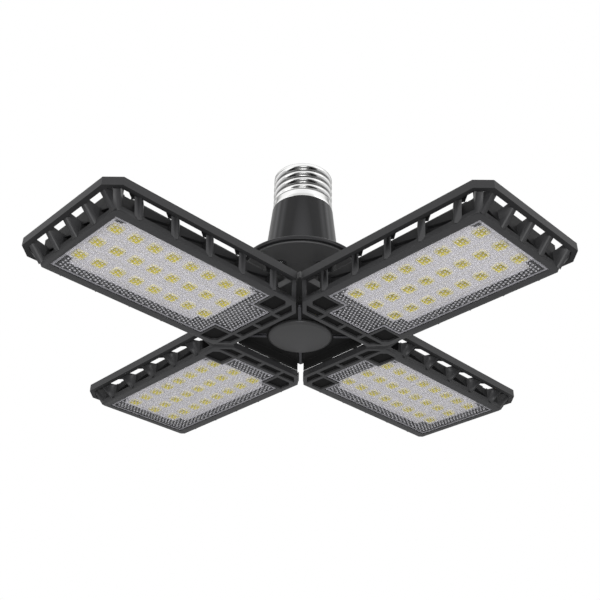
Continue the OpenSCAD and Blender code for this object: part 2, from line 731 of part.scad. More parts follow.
module heat_sink() {
  u0 = wall_u0 + lens_gap;
  u1 = wall_u1 - wall_t - lens_gap;
  fin_span = 2 * (sink_half - 2.6);
  skirt_low = ledge_z1 + face_gap;
  color([0.07, 0.07, 0.08]) difference() {
    union() {
      box(u0, u1, -sink_half, sink_half, sink_z0, sink_z1);
      difference() {
        box(u0, u1, -sink_half, sink_half, skirt_low, sink_z0 + fuse);
        box(u0 + skirt_t, u1 - skirt_t, -sink_half + skirt_t, sink_half - skirt_t, 0, sink_z0);
      }
      for (i = [0 : fins - 1])
        translate([u0 + 1.5, -fin_span / 2 + i * fin_span / (fins - 1) - fin_t / 2, sink_z1 - fuse])
          cube([u1 - u0 - 3, fin_t, fin_h + fuse]);
    }
    for (u = boss_u)
      both_sides() translate([u, boss_v, 0]) {
        cylinder(d = leaf_screw_d + 0.4, h = sink_z1 + past);
        translate([0, 0, sink_z1]) cylinder(d = leaf_screw_d + 3, h = fin_h + past);
      }
    translate([u0 - past, 0, leaf_lead_z]) rotate([0, 90, 0]) cylinder(r = lead_r + 0.2, h = 4);
  }
}

module led_board() {
  u0 = wall_u0 + lens_gap + 1.4;
  u1 = wall_u1 - wall_t - lens_gap - 1.4;
  color([0.93, 0.93, 0.95]) difference() {
    box(u0, u1, -board_half, board_half, board_z0, board_z1);
    both_sides() {
      box(0, boss_u[0] + 2.5, boss_v - 2.5, wall_out, 0, wall_h);
      box(boss_u[1] - 2.5, rail_u1, boss_v - 2.5, wall_out, 0, wall_h);
    }
  }
}

module leds() {
  u_mid = (lens_u0 + lens_u1) / 2;
  color([0.95, 0.85, 0.3]) for (i = [0 : led_columns - 1], j = [-1 : 1])
    translate([u_mid + (i - (led_columns - 1) / 2) * led_pitch_u - led_w / 2, j * led_pitch_v - led_w / 2,
               board_z0 - led_h - 0.01]) cube([led_w, led_w, led_h]);
}

module lens() {
  color([0.85, 0.86, 0.9, 0.5]) translate([0, 0, lens_inset]) linear_extrude(height = lens_t) lens_outline(0);
}

module lens_seal() {
  h = lens_w / 2 - 0.1;
  w = seal_w;
  color([0.2, 0.2, 0.2]) translate([0, 0, lens_z1 + face_gap]) linear_extrude(height = seal_t) difference() {
    translate([lens_u0 + 0.1, -h]) square([lens_l - 0.2, 2 * h]);
    translate([lens_u0 + 0.1 + w, -h + w]) square([lens_l - 0.2 - 2 * w, 2 * (h - w)]);
  }
}

module sink_screws() {
  color([0.65, 0.65, 0.67]) for (u = boss_u)
    both_sides() translate([u, boss_v, 0]) {
      translate([0, 0, ledge_z0 + 0.8]) cylinder(d = leaf_screw_d, h = sink_z1 - ledge_z0 - 0.8 + fuse);
      translate([0, 0, sink_z1 + face_gap]) difference() {
        cylinder(d = leaf_screw_d + 2, h = 1.4);
        translate([0, 0, 0.6]) cylinder(d = 1.5, h = 1.4, $fn = 6);
      }
    }
}

module hinge_pin() {
  color([0.7, 0.7, 0.72]) translate([hinge_u, pin_half, hinge_z]) rotate([90, 0, 0])
    cylinder(r = pin_r, h = 2 * pin_half);
}

module friction_washers() {
  color([0.8, 0.78, 0.7]) both_sides()
    translate([hinge_u, arm_out + face_gap + washer_t, hinge_z]) rotate([90, 0, 0]) difference() {
      cylinder(r = knuckle_r - 0.3, h = washer_t);
      translate([0, 0, -past]) cylinder(r = pin_r + 0.05, h = washer_t + 2 * past);
    }
}

// from in front of the pin down and in through the tray's inner wall, to the board's end
module leaf_lead() {
  end_u = wall_u0 + lens_gap + 1.4 - face_gap;
  color([0.15, 0.15, 0.15]) {
    translate([lead_u, 0, leaf_lead_z]) cylinder(r = lead_r, h = lead_split - 0.4 - leaf_lead_z);
    translate([lead_u, 0, leaf_lead_z]) sphere(r = lead_r, $fn = 24);
    translate([lead_u, 0, leaf_lead_z]) rotate([0, 90, 0]) cylinder(r = lead_r, h = end_u - lead_u);
  }
}

// ---------- the light ----------

screw_shell();
base_insulator();
center_contact();
driver_housing();
driver_board();
transformer();
capacitors();
choke();
supply_leads();
output_leads();
hub_body();
bottom_plate();
hub_cap();
hub_screws();
for (n = [1 : 4]) {
  at_leaf(n) leaf_frame();
  at_leaf(n) heat_sink();
  at_leaf(n) led_board();
  at_leaf(n) leds();
  at_leaf(n) lens();
  at_leaf(n) lens_seal();
  at_leaf(n) sink_screws();
  at_leaf(n) hinge_pin();
  at_leaf(n) friction_washers();
  at_leaf(n) leaf_lead();
}
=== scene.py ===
"""Looks for a folding four-leaf garage light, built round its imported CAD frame.

The leaves are drawn in their own coordinates: u outward from the middle of the light, v to the
left when looking outward, z up from the leaf's front face. All sizes are in metres.
"""

import json
import logging
import math
from dataclasses import dataclass
from enum import Enum
from typing import Any, Optional, Sequence, Union

import bmesh
import bpy
import numpy as np
from mathutils import Matrix, Vector

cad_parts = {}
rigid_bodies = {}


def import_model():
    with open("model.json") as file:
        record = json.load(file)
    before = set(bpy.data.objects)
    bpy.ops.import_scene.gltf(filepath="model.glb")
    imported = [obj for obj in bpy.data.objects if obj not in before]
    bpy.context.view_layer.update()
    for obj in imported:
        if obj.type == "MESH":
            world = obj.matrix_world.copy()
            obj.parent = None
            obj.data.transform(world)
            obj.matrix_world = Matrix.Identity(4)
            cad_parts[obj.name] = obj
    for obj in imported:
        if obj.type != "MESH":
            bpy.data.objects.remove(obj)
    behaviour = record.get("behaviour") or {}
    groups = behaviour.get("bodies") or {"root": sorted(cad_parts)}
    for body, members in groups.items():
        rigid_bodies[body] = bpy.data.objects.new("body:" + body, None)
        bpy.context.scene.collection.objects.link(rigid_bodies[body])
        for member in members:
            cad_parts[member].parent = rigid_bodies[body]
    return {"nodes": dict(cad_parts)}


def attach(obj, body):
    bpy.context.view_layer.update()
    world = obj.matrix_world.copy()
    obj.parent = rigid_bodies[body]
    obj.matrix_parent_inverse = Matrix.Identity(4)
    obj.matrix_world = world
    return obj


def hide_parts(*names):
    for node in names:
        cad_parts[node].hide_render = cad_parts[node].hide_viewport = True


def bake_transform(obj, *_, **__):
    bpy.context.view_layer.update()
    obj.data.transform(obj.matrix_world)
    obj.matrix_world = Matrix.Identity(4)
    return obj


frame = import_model()

MM = 0.001
POLE_DISTANCE = 1e-7
MERGE_DISTANCE = 0.003 * MM
NEEDLE_LENGTH = 0.002 * MM
FLAT_ANGLE = math.radians(0.8)
BEND_LIMIT = 32.0
# painted reflection: metal colour stops that darken towards the edges as the surface turns away from the eye
PAINTED_EDGE_REFLECTION = ((0.0, 1.0), (0.6, 0.7), (1.0, 0.4))
LOG = logging.getLogger("garage_light")
Value = Union["Sock", float, Sequence[float]]


# ---------- shader graph ----------

class Sock:
    """A shader value that can be used in Python arithmetic; each operation adds a Math node."""

    def __init__(self, graph: "Graph", socket: bpy.types.NodeSocket) -> None:
        """Keeps the graph and the output socket that it stands for."""
        self.graph = graph
        self.socket = socket

    def math(self, operation: str, *others: Value, clamp: bool = False) -> "Sock":
        """Adds a Math node with this value first.

        Args:
            operation: the Math node's operation.
            others: the values of its other inputs.
            clamp: whether the result is held between 0 and 1.

        Returns:
            The node's result.
        """
        settings = {"operation": operation, "use_clamp": clamp}
        return self.graph.node("ShaderNodeMath", settings, dict(enumerate((self, *others))))[0]

    def __add__(self, other: Value) -> "Sock":
        """This plus other."""
        return self.math("ADD", other)

    def __sub__(self, other: Value) -> "Sock":
        """This minus other."""
        return self.math("SUBTRACT", other)

    def __mul__(self, other: Value) -> "Sock":
        """This times other."""
        return self.math("MULTIPLY", other)

    def __rsub__(self, other: float) -> "Sock":
        """Other minus this."""
        return self.graph.number(other).math("SUBTRACT", self)

    __radd__ = __add__
    __rmul__ = __mul__

    def above(self, level: Value, softness: float) -> "Sock":
        """1 where this is over level, with a ramp of the given half width."""
        return ((self - level) * (0.5 / softness)).math("ADD", 0.5, clamp=True)


class Graph:
    """A material or world's node tree, with one method that makes any node."""

    def __init__(self, owner: Any) -> None:
        """Empties the owner's node tree and keeps it."""
        owner.use_nodes = True
        self.tree = owner.node_tree
        self.tree.nodes.clear()

    def node(self, kind: str, settings: Optional[dict] = None, inputs: Optional[dict] = None) -> "Outputs":
        """Makes one node.

        Args:
            kind: the node's type name.
            settings: its properties, set before its inputs; "stops" sets a ramp's stops.
            inputs: values or links, by socket name, identifier or number.

        Returns:
            The node's outputs, by number, name or identifier.
        """
        made = self.tree.nodes.new(kind)
        for key, value in (settings or {}).items():
            if key == "stops":
                ramp = made.color_ramp.elements
                for stop, (place, colour) in zip((ramp[0], ramp[1]), (value[0], value[-1])):
                    stop.position, stop.color = place, colour
                for place, colour in value[1:-1]:
                    ramp.new(place).color = colour
            else:
                setattr(made, key, value)
        for key, value in (inputs or {}).items():
            socket = find_socket(made.inputs, key)
            if isinstance(value, Sock):
                self.tree.links.new(value.socket, socket)
            else:
                socket.default_value = value
        return Outputs(self, made)

    def number(self, value: float) -> Sock:
        """A constant, for the left side of a subtraction."""
        return self.node("ShaderNodeMath", {"operation": "ADD"}, {0: value, 1: 0.0})[0]

    def mix(self, factor: Value, first: Value, second: Value) -> Sock:
        """A colour between first, at factor 0, and second, at factor 1."""
        inputs = {"Factor_Float": factor, "A_Color": first, "B_Color": second}
        return self.node("ShaderNodeMix", {"data_type": "RGBA"}, inputs)["Result_Color"]

    def noise(self, where: Sock, scale: float, detail: float = 3.0, rough: float = 0.55) -> Sock:
        """Noise between 0 and 1 with the given scale."""
        inputs = {"Vector": where, "Scale": scale, "Detail": detail, "Roughness": rough}
        return self.node("ShaderNodeTexNoise", {}, inputs)[0]

    def bump(self, height: Sock, strength: float, distance: float) -> Sock:
        """A normal bent by a height."""
        inputs = {"Height": height, "Strength": strength, "Distance": distance}
        return self.node("ShaderNodeBump", {}, inputs)[0]

    def facing(self) -> Sock:
        """How far the surface turns away from the eye, from 0 when it faces it to 1 at its edge."""
        return self.node("ShaderNodeLayerWeight", {}, {"Blend": 0.5})["Facing"]

    def ramp(self, where: Sock, stops: Sequence) -> Sock:
        """A colour from stops of (place, colour)."""
        return self.node("ShaderNodeValToRGB", {"stops": stops}, {"Fac": where})[0]

    def place(self, turn: float = 0.0) -> Sock:
        """Object coordinates, turned about Z."""
        inputs = {"Vector": self.node("ShaderNodeTexCoord")["Object"], "Rotation": (0.0, 0.0, turn)}
        return self.node("ShaderNodeMapping", {"vector_type": "TEXTURE"}, inputs)[0]


@dataclass
class Outputs:
    """The outputs of one node."""

    graph: Graph
    made: bpy.types.Node

    def __getitem__(self, key: Union[int, str]) -> Sock:
        """The output of that number, name or identifier."""
        return Sock(self.graph, find_socket(self.made.outputs, key))


def find_socket(sockets: Any, key: Union[int, str]) -> bpy.types.NodeSocket:
    """Finds a socket by number, identifier or name.

    Args:
        sockets: a node's inputs or outputs.
        key: the number, identifier or name.

    Returns:
        The socket.
    """
    if isinstance(key, int):
        return sockets[key]
    for socket in sockets:
        if socket.identifier == key:
            return socket
    return sockets[key]


def scaled(colour: Sequence[float], by: float) -> tuple:
    """A colour made lighter or darker, with an alpha of 1."""
    return (*(min(1.0, c * by) for c in colour[:3]), 1.0)


# ---------- finishes ----------

@dataclass(frozen=True)
class Finish:
    """A surface: a base colour that varies over two scales, and a bump of fine grain."""

    name: str
    colour: Sequence[float]
    roughness: float = 0.5
    metallic: float = 0.0
    mottle: float = 0.08
    mottle_scale: float = 60.0
    grain: float = 0.25
    grain_scale: float = 2600.0
    grain_depth: float = 0.00006
    rough_spread: float = 0.08
    specular: float = 0.5
    coat: float = 0.0

    def material(self, turn: float = 0.0) -> bpy.types.Material:
        """Builds the material, or returns the one already built.

        Args:
            turn: the turn about Z of the pattern, in radians.

        Returns:
            The material.
        """
        name = self.name if turn == 0.0 else "%s_%03d" % (self.name, round(math.degrees(turn)))
        known = bpy.data.materials.get(name)
        if known is not None:
            return known
        made = bpy.data.materials.new(name)
        graph = Graph(made)
        sockets = self.surface(graph, graph.place(turn))
        shader = graph.node("ShaderNodeBsdfPrincipled", {}, sockets)
        graph.node("ShaderNodeOutputMaterial", {}, {"Surface": shader[0]})
        return made

    def surface(self, graph: Graph, where: Sock) -> dict:
        """The shader's sockets: a mottled colour, an uneven gloss and a fine grain.

        Args:
            graph: the material's graph.
            where: the place on the surface.

        Returns:
            Values and links by socket name.
        """
        patches = graph.noise(where, self.mottle_scale, 4.0)
        grain = graph.noise(where, self.grain_scale, 2.0)
        dark, light = scaled(self.colour, 1.0 - self.mottle), scaled(self.colour, 1.0 + self.mottle)
        colour = graph.mix(patches, dark, light)
        return {
            "Base Color": colour,
            "Roughness": patches * self.rough_spread + (self.roughness - self.rough_spread / 2),
            "Metallic": self.metallic,
            "Specular IOR Level": self.specular,
            "Coat Weight": self.coat,
            "Normal": graph.bump(grain, self.grain, self.grain_depth),
        }


@dataclass(frozen=True)
class SpunMetal(Finish):
    """Plated metal turned or rolled round Z, with faint rings, dull patches and painted reflections that darken its
    edges.

    The bands are painted reflections: stops of the base colour over how far the surface turns away
    from the eye, standing in for the dark and light cards round polished metal. Below dark_r the
    colour goes to a dark tone, painted shade in the roots of a thread.
    """

    rings: float = 900.0
    bands: Sequence = ((0.0, 1.0), (1.0, 1.0))
    dark_r: float = 0.0
    dark_soft: float = 0.0003
    dark_tone: float = 0.12

    def surface(self, graph: Graph, where: Sock) -> dict:
        """As the plain finish, with the grain drawn out into rings round Z, painted reflections in the colour and
        painted shade in the thread's roots.

        Args:
            graph: the material's graph.
            where: the place on the surface.

        Returns:
            Values and links by socket name.
        """
        sockets = super().surface(graph, where)
        parts = graph.node("ShaderNodeSeparateXYZ", {}, {"Vector": where})
        reach = (parts[0] * parts[0] + parts[1] * parts[1]).math("SQRT")
        line = graph.node("ShaderNodeCombineXYZ", {}, {"X": reach * 0.3, "Y": 0.0, "Z": parts[2]})[0]
        rings = graph.noise(line, self.rings, 3.0, 0.6)
        dull = graph.noise(where, 140.0, 5.0, 0.65).above(0.58, 0.07)
        sockets["Roughness"] = rings * 0.10 + dull * 0.12 + (self.roughness - 0.05)
        sockets["Normal"] = graph.bump(rings, self.grain, self.grain_depth)
        # painted reflection: the base colour follows how far the surface turns away from the eye
        stops = [(place, scaled(self.colour, tone)) for place, tone in self.bands]
        colour = graph.ramp(graph.facing() + rings * 0.04, stops)
        # painted shade: below dark_r, in the thread's roots, the colour goes dark
        if self.dark_r > 0:
            bright = reach.above(self.dark_r, self.dark_soft)
            colour = graph.mix(bright, scaled(self.colour, self.dark_tone), colour)
        sockets["Base Color"] = colour
        return sockets


@dataclass(frozen=True)
class PaintedStripSatin(Finish):
    """Smooth moulded plastic with painted reflections: light and dark strips in its colour towards its edges, as
    under strip lamps.
    """

    bands: Sequence = ((0.0, 1.0), (1.0, 1.0))

    def surface(self, graph: Graph, where: Sock) -> dict:
        """As the plain finish, with painted reflection strips in the colour over how far the surface turns away.

        Args:
            graph: the material's graph.
            where: the place on the surface.

        Returns:
            Values and links by socket name.
        """
        sockets = super().surface(graph, where)
        # painted reflection: strips of the colour over how far the surface turns away from the eye
        stops = [(place, scaled(self.colour, tone)) for place, tone in self.bands]
        sockets["Base Color"] = graph.mix(0.75, sockets["Base Color"], graph.ramp(graph.facing(), stops))
        return sockets


@dataclass(frozen=True)
class ClearPlate(Finish):
    """Clear moulded plastic: gloss over what lies behind it, seen through its alpha."""

    cover: float = 0.12
    spread: float = 0.08

    def surface(self, graph: Graph, where: Sock) -> dict:
        """As the plain finish, with a nearly even alpha that lets the board show.

        Args:
            graph: the material's graph.
            where: the place on the surface.

        Returns:
            Values and links by socket name.
        """
        sockets = super().surface(graph, where)
        haze = graph.noise(where, 240.0, 2.0)
        sockets["Alpha"] = haze * self.spread + (self.cover - self.spread / 2)
        return sockets


@dataclass(frozen=True)
class BoardMask(Finish):
    """White solder mask over copper: faint raised tracks along and across the board."""

    copper: Sequence[float] = (0.75, 0.72, 0.68)
    track_l: float = 16.4 * MM
    track_w: float = 5.6 * MM

    def surface(self, graph: Graph, where: Sock) -> dict:
        """As the plain finish, with tracks from a brick pattern under the mask.

        Args:
            graph: the material's graph.
            where: the place on the surface.

        Returns:
            Values and links by socket name.
        """
        sockets = super().surface(graph, where)
        pattern = {"Vector": where, "Scale": 1.0, "Mortar Size": 0.7 * MM, "Mortar Smooth": 0.3, "Bias": 0.0,
                   "Brick Width": self.track_l, "Row Height": self.track_w}
        tracks = graph.node("ShaderNodeTexBrick", {"offset": 0.5}, pattern)[1]
        sockets["Base Color"] = graph.mix(tracks * 0.5, scaled(self.colour, 1.0), scaled(self.copper, 1.0))
        sockets["Normal"] = graph.bump(tracks, 0.3, 0.00008)
        return sockets


class Palette(Enum):
    """The light's finishes."""

    CASTING = Finish("charcoal_casting", (0.021, 0.021, 0.022), 0.50, mottle=0.12, specular=0.28)
    # painted shade: a darker copy of the charcoal casting, on the leaves' tray walls and the yoke's arms
    BLACK_CASTING = Finish("black_casting", (0.012, 0.012, 0.0125), 0.55, mottle=0.12, specular=0.15)
    # painted shade: a near-black copy of the casting for the pockets of the frame's inner end
    POCKET = Finish("pocket_black", (0.005, 0.005, 0.005), 0.65, mottle=0.12, specular=0.06)
    # painted light: a lighter copy of the charcoal casting, lifting the hub's column and yoke out of their shade
    COLUMN = Finish("column_casting", (0.075, 0.075, 0.076), 0.50, mottle=0.10, specular=0.28)
    HEAT_SINK = Finish("black_heat_sink", (0.018, 0.018, 0.0185), 0.5, specular=0.15)
    # the housing's colour carries painted reflection strips towards its edges
    HOUSING = PaintedStripSatin("housing_satin", (0.020, 0.020, 0.021), 0.34, mottle=0.05, grain=0.10, rough_spread=0.05,
                    specular=0.14, bands=((0.0, 1.0), (0.20, 1.0), (0.27, 2.3), (0.33, 0.5), (0.41, 0.35),
                                          (0.47, 1.9), (0.53, 0.35), (0.60, 3.6), (0.67, 0.3), (1.0, 0.4)))
    PLATE = Finish("bottom_plate_matte", (0.0075, 0.0075, 0.0075), 0.6, specular=0.08)
    CAP = Finish("hub_cap_satin", (0.029, 0.029, 0.0295), 0.42, mottle=0.05, grain=0.12, specular=0.30)
    # the shell's colour holds painted reflections over its facing and painted shade in its thread roots
    SHELL = SpunMetal("nickel_shell", (0.80, 0.80, 0.79), 0.17, metallic=1.0, grain=0.18, grain_depth=0.00004,
                      bands=((0.0, 0.10), (0.055, 0.14), (0.10, 0.95), (0.15, 0.80), (0.28, 1.3), (0.46, 1.1),
                             (0.55, 0.62), (0.64, 0.22), (0.72, 0.85), (0.82, 0.20), (1.0, 0.35)),
                      dark_r=0.01252, dark_soft=0.00025, dark_tone=0.16)
    GLASS = Finish("base_glass", (0.012, 0.012, 0.016), 0.12, mottle=0.3, mottle_scale=180.0, grain=0.1,
                   coat=0.6)
    # the contact's and the steel's colours carry a painted reflection that darkens towards their edges
    CONTACT = SpunMetal("tinned_contact", (0.66, 0.62, 0.53), 0.30, metallic=1.0, grain=0.3, bands=PAINTED_EDGE_REFLECTION)
    STEEL = SpunMetal("zinc_steel", (0.42, 0.42, 0.43), 0.33, metallic=1.0, grain=0.25, bands=PAINTED_EDGE_REFLECTION)
    WASHER = SpunMetal("sprung_washer", (0.50, 0.48, 0.42), 0.30, metallic=1.0, grain=0.25)
    LENS = ClearPlate("lens_clear", (0.20, 0.20, 0.21), 0.10, mottle=0.02, grain=0.05, cover=0.13)
    PRISM = ClearPlate("lens_prisms", (0.52, 0.515, 0.54), 0.22, mottle=0.03, grain=0.05, cover=0.38)
    LENS_EDGE = ClearPlate("lens_edge", (0.34, 0.335, 0.36), 0.28, mottle=0.04, grain=0.10, cover=0.55)
    BOARD = BoardMask("white_board", (0.80, 0.78, 0.83), 0.35, grain=0.1)
    PACKAGE = Finish("led_package", (0.86, 0.80, 0.50), 0.4, mottle=0.03)
    PHOSPHOR = Finish("led_phosphor", (0.74, 0.62, 0.02), 0.3, mottle=0.12, mottle_scale=700.0)
    SEAL = Finish("seal_silicone", (0.05, 0.05, 0.05), 0.7)
    CIRCUIT = Finish("circuit_board", (0.02, 0.13, 0.05), 0.35, mottle=0.15, mottle_scale=240.0)
    WINDING = Finish("winding_tape", (0.66, 0.50, 0.05), 0.3, mottle=0.12, mottle_scale=220.0)
    CAPACITOR = Finish("capacitor_sleeve", (0.02, 0.02, 0.04), 0.25)
    FERRITE = Finish("ferrite", (0.03, 0.03, 0.03), 0.6, mottle=0.3, mottle_scale=500.0)
    RED_LEAD = Finish("red_lead", (0.40, 0.02, 0.02), 0.4)
    BLACK_LEAD = Finish("black_lead", (0.013, 0.013, 0.013), 0.4)


def dress(piece: bpy.types.Object, finish: Palette, turn: float = 0.0) -> bpy.types.Object:
    """Gives a piece one finish all over.

    Args:
        piece: the piece.
        finish: its finish.
        turn: the turn of the finish's pattern about Z, in radians.

    Returns:
        The piece.
    """
    piece.data.materials.clear()
    piece.data.materials.append(finish.value.material(turn))
    return piece


def part_dressed(piece: bpy.types.Object, other: Palette, inside: np.ndarray,
                 turn: float = 0.0) -> bpy.types.Object:
    """Gives some of a piece's faces another finish.

    Args:
        piece: the piece, which has its first finish.
        other: the other finish.
        inside: for each face, whether it takes the other finish.
        turn: the turn of the finish's pattern about Z, in radians.

    Returns:
        The piece.
    """
    piece.data.materials.append(other.value.material(turn))
    kinds = np.empty(len(inside), np.int32)
    piece.data.polygons.foreach_get("material_index", kinds)
    kinds[inside] = len(piece.data.materials) - 1
    piece.data.polygons.foreach_set("material_index", kinds)
    piece.data.update()
    return piece


def face_middles(piece: bpy.types.Object, turn: float, low: float) -> np.ndarray:
    """The middles of a piece's faces, turned back about Z and with their heights counted from low: a
    leaf's own coordinates when turn is its azimuth and low its front face's height.

    Args:
        piece: the piece.
        turn: the angle in radians.
        low: the height that becomes 0.

    Returns:
        An array of points, n by 3.
    """
    polygons = piece.data.polygons
    middles = np.empty(len(polygons) * 3)
    polygons.foreach_get("center", middles)
    x, y, z = middles.reshape(-1, 3).T
    c, s = math.cos(turn), math.sin(turn)
    return np.stack([x * c + y * s, -x * s + y * c, z - low], -1)


# ---------- shapes ----------

def new_piece(name: str, points: np.ndarray, faces: Sequence, smooth_angle: float = 40.0,
              kinds: Optional[np.ndarray] = None) -> bpy.types.Object:
    """Makes a mesh object from points and faces, merged, closed at poles and facing outward.

    Args:
        name: the piece's name.
        points: an array of points, n by 3.
        faces: each face's point numbers.
        smooth_angle: edges sharper than this many degrees stay sharp.
        kinds: each face's material number, or None.

    Returns:
        The object, linked to the scene.
    """
    mesh = bpy.data.meshes.new(name)
    mesh.from_pydata(np.asarray(points, float).reshape(-1, 3), [], [list(f) for f in faces])
    if kinds is not None:
        mesh.polygons.foreach_set("material_index", np.asarray(kinds, np.int32))
    work = bmesh.new()
    work.from_mesh(mesh)
    bmesh.ops.remove_doubles(work, verts=work.verts, dist=POLE_DISTANCE)
    bmesh.ops.recalc_face_normals(work, faces=work.faces)
    work.to_mesh(mesh)
    work.free()
    return shown(name, mesh, smooth_angle)


def shown(name: str, mesh: bpy.types.Mesh, smooth_angle: float) -> bpy.types.Object:
    """Links a mesh to the scene, shaded smooth except at its sharp edges.

    Args:
        name: the object's name.
        mesh: its mesh.
        smooth_angle: edges sharper than this many degrees stay sharp.

    Returns:
        The object.
    """
    mesh.polygons.foreach_set("use_smooth", np.ones(len(mesh.polygons), bool))
    mesh.set_sharp_from_angle(angle=math.radians(smooth_angle))
    piece = bpy.data.objects.new(name, mesh)
    bpy.context.scene.collection.objects.link(piece)
    return piece


def grid_faces(rows: int, columns: int, round_rows: bool = False) -> np.ndarray:
    """The quads of a grid of points whose rows run all the way round.

    Args:
        rows: the number of rows.
        columns: the number of points in a row.
        round_rows: whether the last row meets the first.

    Returns:
        An array of quads, n by 4.
    """
    i = np.arange(rows if round_rows else rows - 1)[:, None]
    j = np.arange(columns)[None, :]
    a = i * columns + j
    b = i * columns + (j + 1) % columns
    c = ((i + 1) % rows) * columns + (j + 1) % columns
    d = ((i + 1) % rows) * columns + j
    return np.stack([a, b, c, d], -1).reshape(-1, 4)


def rings(r: np.ndarray, z: np.ndarray, a: np.ndarray) -> np.ndarray:
    """The points (r cos a, r sin a, z) of each radius and height, at every angle a of a turn."""
    return np.stack(np.broadcast_arrays(r * np.cos(a), r * np.sin(a), z), -1)


def end_faces(rows: int, columns: int) -> list:
    """The two faces that close a grid of round rows at its first and last row."""
    return [range(columns), range((rows - 1) * columns, rows * columns)]


def repeated_rings(one: np.ndarray, levels: int, places: np.ndarray, first: int = 0) -> tuple:
    """Copies a stack of rings to many places.

    Args:
        one: the stack's points, ring by ring, n by 3.
        levels: the number of rings.
        places: how far each copy moves, n by 2.
        first: the number of the first copy's first point.

    Returns:
        The points, the quads between the rings, the first rings as faces and the last rings as faces.
    """
    sides = len(one) // levels
    start = first + np.arange(len(places)) * len(one)
    points = one[None, :, :] + np.column_stack([places, np.zeros(len(places))])[:, None, :]
    quads = (grid_faces(levels, sides)[None, :, :] + start[:, None, None]).reshape(-1, 4)
    feet = np.arange(sides)[None, :] + start[:, None]
    return points.reshape(-1, 3), quads, feet, feet + (levels - 1) * sides


def rounded_profile(corners: Sequence, steps: int = 5) -> np.ndarray:
    """An outline with rounded corners: each corner (r, z, radius) becomes a quadratic curve
    from a point one radius before it to a point one radius after it.

    Args:
        corners: (r, z, radius) of each corner, the ends with radius 0.
        steps: points on each curve.

    Returns:
        The outline's points, n by 2.
    """
    c = np.array(corners, float)
    out = []
    for k, (r, z, bend) in enumerate(c):
        here = np.array([r, z])
        if bend <= 0 or k in (0, len(c) - 1):
            out.append(here[None, :])
            continue
        before, after = c[k - 1, :2] - here, c[k + 1, :2] - here
        reach = min(bend, np.linalg.norm(before) * 0.49, np.linalg.norm(after) * 0.49)
        start = here + before / np.linalg.norm(before) * reach
        end = here + after / np.linalg.norm(after) * reach
        t = np.linspace(0, 1, steps)[:, None]
        out.append((1 - t) ** 2 * start + 2 * t * (1 - t) * here + t ** 2 * end)
    return np.vstack(out)


def revolved(name: str, outline: np.ndarray, low: float = 0.0, segments: int = 128,
             closed: bool = False, smooth_angle: float = 40.0) -> bpy.types.Object:
    """A turned piece: each point (r, z) of the outline goes to (r cos a, r sin a, z + low) for every
    angle a of a full turn.

    Args:
        name: the piece's name.
        outline: its half section, n by 2, in metres.
        low: a height added to all of it.
        segments: points round each circle.
        closed: whether the outline's last point joins its first.
        smooth_angle: edges sharper than this many degrees stay sharp.

    Returns:
        The piece.
    """
    a = np.linspace(0, 2 * math.pi, segments, endpoint=False)
    points = rings(outline[:, 0:1], outline[:, 1:2] + low, a)
    return new_piece(name, points, grid_faces(len(outline), segments, round_rows=closed), smooth_angle)


def softened_copy(node: str, name: str, width: float) -> bpy.types.Object:
    """A copy of a CAD node with its triangles merged and its longer edges rounded. An edge is rounded
    when it is bent and it and the edges that meet it are long against the width.

    Args:
        node: the CAD node.
        name: the new piece's name.
        width: the width of the rounding.

    Returns:
        The piece, which replaces the node.
    """
    work = bmesh.new()
    work.from_mesh(frame["nodes"][node].data)
    bmesh.ops.remove_doubles(work, verts=work.verts, dist=MERGE_DISTANCE)
    bmesh.ops.dissolve_degenerate(work, edges=work.edges, dist=NEEDLE_LENGTH)
    bmesh.ops.dissolve_limit(work, angle_limit=FLAT_ANGLE, verts=work.verts, edges=work.edges)
    weight = work.edges.layers.float.new("bevel_weight_edge")
    least, near_least = 4 * width, 2.2 * width
    for edge in work.edges:
        bent = len(edge.link_faces) == 2 and edge.calc_face_angle(0.0) > math.radians(BEND_LIMIT)
        shortest = min(near.calc_length() for corner in edge.verts for near in corner.link_edges)
        edge[weight] = float(bent and shortest > near_least and edge.calc_length() > least)
    mesh = bpy.data.meshes.new(name)
    work.to_mesh(mesh)
    work.free()
    piece = shown(name, mesh, BEND_LIMIT)
    bevel = piece.modifiers.new("edges", "BEVEL")
    bevel.width = width
    bevel.segments = 2
    bevel.limit_method = "WEIGHT"
    bevel.use_clamp_overlap = True
    bevel.miter_outer = "MITER_SHARP"
    bevel.harden_normals = False
    normals = piece.modifiers.new("normals", "WEIGHTED_NORMAL")
    normals.keep_sharp = False
    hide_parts(node)
    return piece


# ---------- screw base ----------

